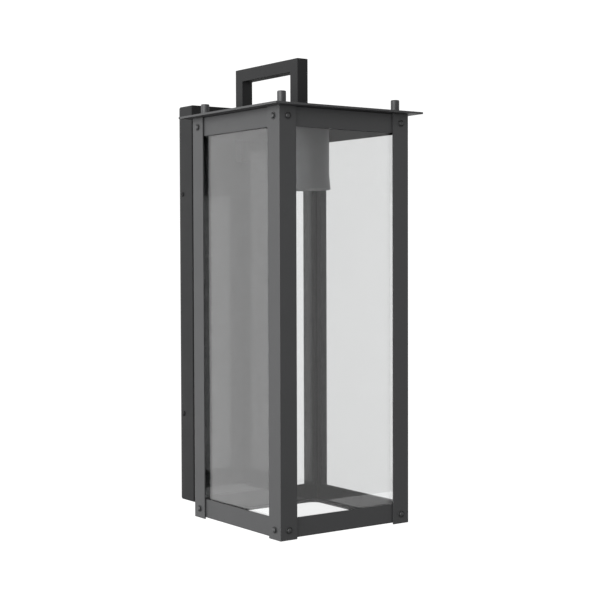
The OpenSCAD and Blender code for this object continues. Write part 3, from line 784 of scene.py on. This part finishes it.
def make_rivets():
    """Blind rivets: a thin flange round a dome."""
    profile = [(0, -3.0), (1.6, -3.0), (1.6, 0), (3.5, 0), (3.5, 0.4), (3.42, 0.55), (3.28, 0.58),
               (3.16, 0.48), (3.1, 0.08), (2.42, 0.08), (2.4, 0.85), (2.25, 1.3), (1.85, 1.65),
               (1.3, 1.87), (0.65, 1.97), (0, 2.0)]
    rivet = turned("rivet", (0, 0, 0), profile, 32)
    low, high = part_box("post_front_left")
    far_low, far_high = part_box("post_rear_right")
    centre = Vector(((low.x + far_high.x) / 2, (low.y + far_high.y) / 2, 0))
    half = Vector(((far_high.x - low.x) / 2, (far_high.y - low.y) / 2, 0))
    inset = (high.x - low.x) / 2
    for face, quarter_turns in (("front", 0), ("right", 1), ("rear", 2), ("left", 3)):
        out = half.y if quarter_turns % 2 == 0 else half.x
        across = (half.x if quarter_turns % 2 == 0 else half.y) - inset
        turn = Matrix.Rotation(quarter_turns * QUARTER, 4, "Z")
        for level, z in (("low", low.z + RIVET_FROM_END), ("high", high.z - RIVET_FROM_END)):
            for hand, side in (("a", -1), ("b", 1)):
                spot = centre + turn.to_3x3() @ Vector((side * across, -out, 0))
                place = Matrix.Translation((spot.x, spot.y, z)) @ turn @ Matrix.Rotation(QUARTER, 4, "X")
                copy = copied(rivet, f"rivet_{face}_{level}_{hand}", place)
                finished(copy, "lantern", "case_paint", "corner_rivets")
    removed(rivet)


FINIALS = ("finial_front_left", "finial_front_right", "finial_rear_left", "finial_rear_right")


def make_finials():
    """Turned knobs with an eased top edge, on a threaded stud."""
    low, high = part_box(FINIALS[0])
    radius = (high.x - low.x) / 2 / MM
    height = (high.z - low.z) / MM
    foot = height - 12.3
    profile = [(0, 0), (1.6, 0), (2.0, 0.5), (2.0, foot), (radius - 0.35, foot), (radius, foot + 0.35),
               (radius, height - 0.9), (radius - 0.12, height - 0.42), (radius - 0.42, height - 0.12),
               (radius - 0.9, height), (0, height)]
    centre = middle_of(FINIALS[0])
    finial = turned("finial", (centre.x, centre.y, low.z), profile, 48)
    for name in FINIALS:
        copy = copied(finial, name.replace("finial", "knob"), Matrix.Translation(middle_of(name) - centre))
        finished(copy, name, "case_paint", name)
    removed(finial)


def make_arm():
    """A square tube drawn along its path: up from the roof, back, and down the pan."""
    low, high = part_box("hanging_arm")
    side = high.x - low.x
    front_y = low.y + side / 2
    foot_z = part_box("roof")[1].z
    arm = panel("hanging_tube", (0, front_y, foot_z), side, side)
    extrude("faces", (0, 0, high.z - side - foot_z))
    extrude("faces", (0, 0, side))
    pick("faces", lambda f: f.normal.y > 0.9 and lies_at(f, 1, front_y + side / 2)
         and f.calc_center_median().z > high.z - side)
    extrude("faces", (0, high.y - side - (front_y + side / 2), 0))
    extrude("faces", (0, side, 0))
    bpy.ops.mesh.select_all(action="SELECT")
    bpy.ops.mesh.normals_make_consistent(inside=False)
    pick("faces", lambda f: f.normal.z < -0.9 and lies_at(f, 2, high.z - side)
         and f.calc_center_median().y > high.y - side)
    extrude("faces", (0, 0, low.z - (high.z - side)))
    bpy.ops.mesh.select_all(action="SELECT")
    bpy.ops.mesh.remove_doubles(threshold=NEAR)
    bpy.ops.mesh.normals_make_consistent(inside=False)
    pick("faces", lambda f: lies_at(f, 2, foot_z) or lies_at(f, 2, low.z))
    bpy.ops.mesh.delete(type="FACE")
    closed()
    softened(arm, 0.55 * MM, 3)
    thickened(arm, ARM_T)
    bore_wire_holes(arm, high.y)
    finished(arm, "lantern", "case_paint", "hanging_arm", coat=MOUNT_PAINTED_SHADE_COAT)


def make_cup():
    """A spun cup with a rolled, slightly flared lip."""
    low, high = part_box("socket_cup")
    height = (high.z - low.z) / MM
    lip = (high.x - low.x) / 2 / MM
    radius = lip - 1.3
    profile = [(4.05, height), (radius - 1.6, height), (radius - 0.75, height - 0.2),
               (radius - 0.2, height - 0.75), (radius, height - 1.6), (radius, 15),
               (radius + 0.15, 12.5), (lip - 0.35, 5), (lip - 0.05, 1.5), (lip, 0.7),
               (lip - 0.12, 0.2), (lip - 0.5, 0), (lip - 0.88, 0.2), (lip - 1.0, 0.7), (lip - 1.05, 1.5),
               (lip - 1.35, 5), (radius - 0.85, 12.5), (radius - 1, 15), (radius - 1, height - 1.9),
               (radius - 1.25, height - 1.2), (radius - 1.9, height - 1), (4.05, height - 1), (4.05, height)]
    centre = middle_of("socket_cup")
    cup = turned("spun_cup", (centre.x, centre.y, low.z), profile, 96)
    finished(cup, "lantern", "cup_paint", "socket_cup")


# --- Wall side ---

def make_pan():
    """A shallow pan drawn from sheet, open towards the wall."""
    low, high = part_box("wall_pan")
    centre = (low + high) / 2
    pan = panel("drawn_pan", (centre.x, low.y, centre.z), high.x - low.x, high.z - low.z, (QUARTER, 0, 0))
    rounded(PAN_CORNER_R, 5, "VERTICES")
    bpy.ops.mesh.select_all(action="SELECT")
    pick("edges", lambda e: e.is_boundary)
    extrude("edges", (0, high.y - low.y, 0))
    outward((centre.x, high.y + 60 * MM, centre.z))
    closed()
    thickened(pan, PAN_T)
    reopened(pan)
    pick("edges", lambda e: lies_at(e, 1, low.y) and e.calc_face_angle(0) > 0.7)
    rounded(PAN_BEND, 3)
    closed()
    bore_wire_holes(pan, low.y)
    softened(pan, 0.2 * MM)
    finished(pan, "lantern", "case_paint", "wall_pan", coat=MOUNT_PAINTED_SHADE_COAT)


def make_side_screws():
    """Slotted pan-head screws."""
    profile = [(0, -7), (1.1, -7), (1.5, -6.4), (1.5, 0), (2.5, 0), (2.5, 0.55), (2.4, 0.85),
               (2.1, 1.1), (1.5, 1.28), (0.8, 1.37), (0, 1.4)]
    screw = turned("side_screw", (0, 0, 0), profile, 32)
    slot = block("slot", (-3 * MM, -0.35 * MM, 0.75 * MM), (3 * MM, 0.35 * MM, 3 * MM))
    closed()
    cut(screw, slot)
    low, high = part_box("side_screws")
    pan_low, pan_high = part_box("wall_pan")
    inset = 2.5 * MM
    for hand, side in (("left", -1), ("right", 1)):
        wall = pan_low.x if side < 0 else pan_high.x
        for level, z, twist in (("low", low.z + inset, 0.5), ("high", high.z - inset, 1.9)):
            place = Matrix.Translation((wall, (low.y + high.y) / 2, z))
            turn = Matrix.Rotation(side * QUARTER, 4, "Y") @ Matrix.Rotation(twist, 4, "Z")
            copy = copied(screw, f"side_screw_{hand}_{level}", place @ turn)
            finished(copy, "lantern", "case_paint", "side_screws", coat=MOUNT_PAINTED_SHADE_COAT)
    removed(screw)


# --- Lampholder and fixings ---

def eased(name, node, radius=0.0, smooth=30):
    """A merged copy of a drawn piece with its hard edges eased."""
    mesh = frame["nodes"][node].data.copy()
    mesh.transform(frame["nodes"][node].matrix_world)
    piece = bpy.data.objects.new(name, mesh)
    bpy.context.scene.collection.objects.link(piece)
    deselect_all()
    bpy.context.view_layer.objects.active = piece
    piece.select_set(True)
    bpy.ops.object.mode_set(mode="EDIT")
    bpy.ops.mesh.select_all(action="SELECT")
    bpy.ops.mesh.remove_doubles(threshold=NEAR)
    if radius:
        bpy.ops.mesh.dissolve_limited(angle_limit=math.radians(1))
    bpy.ops.mesh.normals_make_consistent(inside=False)
    closed()
    if radius:
        softened(piece, radius)
    finished(piece, "lantern", CAD_SLOTS[node], node, smooth=smooth)


def make_fixings():
    for name, node, radius in (
            ("formed_bracket", "wall_bracket", 0.25), ("foam_gasket", "wall_gasket", 0.3),
            ("holder_strap", "lampholder_bracket", 0.2), ("hex_nut", "lock_nut", 0.25),
            ("tooth_washer", "lock_washer", 0.1), ("hollow_stem", "stem", 0.15),
            ("acorn_nuts", "finial_nuts", 0.2), ("threaded_plug", "arm_plug", 0.2),
            ("tube_cap", "arm_end_cap", 0.3), ("tube_screws", "arm_screws", 0.12),
            ("snap_bushing", "wire_bushing", 0.15), ("strap_screws", "bracket_screws", 0.12),
            ("binding_screws", "terminal_screws", 0.12), ("earth_screw", "ground_screw", 0.15),
            ("glazed_body", "lampholder_body", 0.45)):
        eased(name, node, radius * MM)
    for name, node in (
            ("black_lead", "lead_black"), ("white_lead", "lead_white"), ("green_loop", "ground_wire")):
        eased(name, node, smooth=60)


def make_shell():
    """A rolled screw shell: one pitch of wave wound up the axis, then trimmed square."""
    low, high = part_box("screw_shell")
    axis = middle_of("screw_shell")
    crest = (high.x - low.x) / 2
    pitch = THREAD_PITCH
    depth = THREAD_DEPTH
    steps = 16
    height = high.z - low.z
    deselect_all()
    foot = Vector((axis.x + crest - depth / 2, axis.y, low.z - pitch))
    bpy.ops.mesh.primitive_plane_add(size=MM, location=foot)
    shell = opened("rolled_shell")
    bpy.ops.mesh.merge(type="CENTER")
    spots = [Vector((math.cos(FULL_TURN * i / steps) * depth / 2, 0, pitch * i / steps))
             for i in range(steps + 1)]
    bpy.ops.transform.translate(value=spots[0])
    for here, there in zip(spots, spots[1:]):
        bpy.ops.mesh.extrude_region_move(TRANSFORM_OT_translate={"value": there - here})
    closed()
    shell.data.transform(Matrix.Translation((-axis.x, -axis.y, 0)))
    modified(shell, "SCREW", axis="Z", angle=FULL_TURN, screw_offset=pitch,
             iterations=math.ceil(height / pitch) + 2, steps=56, render_steps=56,
             use_merge_vertices=True, merge_threshold=NEAR)
    shell.data.transform(Matrix.Translation((axis.x, axis.y, 0)))
    bpy.ops.object.mode_set(mode="EDIT")
    bpy.ops.mesh.select_all(action="SELECT")
    bpy.ops.mesh.remove_doubles(threshold=NEAR)
    for z, above in ((low.z, False), (high.z, True)):
        bpy.ops.mesh.select_all(action="SELECT")
        bpy.ops.mesh.bisect(plane_co=(0, 0, z), plane_no=UP, clear_inner=not above, clear_outer=above)
    outward(axis)
    closed()
    thickened(shell, SHELL_T)
    finished(shell, "lantern", "brass", "screw_shell", smooth=50)


def make_contact():
    """The centre contact: a domed button on a stem."""
    low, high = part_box("centre_contact")
    radius = (high.x - low.x) / 2 / MM
    height = (high.z - low.z) / MM
    profile = [(0, 0), (radius - 1.7, 0.04), (radius - 0.7, 0.2), (radius - 0.15, 0.5), (radius, 0.8),
               (radius, 1.2), (radius - 0.2, 1.5), (1.5, 1.5), (1.5, height - 0.35), (1.15, height),
               (0, height)]
    axis = middle_of("centre_contact")
    button = turned("contact_button", (axis.x, axis.y, low.z), profile, 40)
    finished(button, "centre_contact", "brass", "centre_contact")


def make_spring():
    """A round-wire coil spring of four turns."""
    low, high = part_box("contact_spring")
    axis = middle_of("contact_spring")
    wire = 0.3 * MM
    coil = (high.x - low.x) / 2 - wire
    turns = 4
    pitch = (high.z - low.z - 2.2 * wire) / turns
    deselect_all()
    bpy.ops.mesh.primitive_circle_add(vertices=12, radius=wire, rotation=(QUARTER, 0, 0),
                                      location=(coil, 0, low.z + 1.1 * wire))
    spring = opened("coil_spring")
    closed()
    modified(spring, "SCREW", axis="Z", angle=FULL_TURN, screw_offset=pitch, iterations=turns,
             steps=36, render_steps=36, use_merge_vertices=False)
    spring.data.transform(Matrix.Translation((axis.x, axis.y, 0)))
    bpy.ops.object.mode_set(mode="EDIT")
    pick("edges", lambda e: e.is_boundary)
    bpy.ops.mesh.edge_face_add()
    bpy.ops.mesh.select_all(action="SELECT")
    bpy.ops.mesh.normals_make_consistent(inside=False)
    closed()
    finished(spring, "lantern", "zinc_steel", "contact_spring", smooth=60)
    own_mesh(spring)


def make_connectors():
    """Twist-on connectors: a tapered cap with grip ribs, hollow at the mouth."""
    low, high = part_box("wire_connectors")
    wide, tip, length = 5.5, 3.3, 22
    profile = [(0, 9), (2.4, 9), (3.5, 7), (wide - 1.1, 0.25), (wide - 0.75, 0), (wide - 0.5, 0.2),
               (wide - 0.35, 0.6), (wide - 0.4, 6.6), (tip - 0.1, length - 1.1),
               (tip - 0.5, length - 0.3), (tip - 1.2, length), (0, length)]
    cap = turned("twist_cap", (0, 0, 0), profile, 32)
    bpy.context.view_layer.objects.active = cap
    bpy.ops.object.mode_set(mode="EDIT")

    def rib(face):
        spot = face.calc_center_median()
        column = int((math.atan2(spot.y, spot.x) % FULL_TURN) / FULL_TURN * 32)
        out = face.normal.x * spot.x + face.normal.y * spot.y > 0
        return out and column % 2 == 0 and 7 * MM < spot.z < (length - 1.5) * MM

    pick("faces", rib)
    bpy.ops.mesh.inset(thickness=0.06 * MM, depth=0)
    bpy.ops.mesh.extrude_region_shrink_fatten(TRANSFORM_OT_shrink_fatten={"value": 0.3 * MM})
    closed()
    inset = wide * MM
    for name, x, z, flip in (("cap_black", low.x + inset, high.z, True),
                             ("cap_white", -(low.x + inset), high.z, True),
                             ("cap_green", high.x - inset, low.z, False)):
        turn = Matrix.Rotation(math.pi if flip else 0, 4, "X")
        copy = copied(cap, name, Matrix.Translation((x, (low.y + high.y) / 2, z)) @ turn)
        finished(copy, "lantern", "connector_plastic", "wire_connectors", smooth=40)
    removed(cap)


make_posts()
make_frame("bottom_frame", 1)
make_frame("top_frame", -1)
make_roof()
make_panes()
make_rivets()
make_finials()
make_arm()
make_cup()
make_pan()
make_side_screws()
make_fixings()
make_shell()
make_contact()
make_spring()
make_connectors()
make_floor()
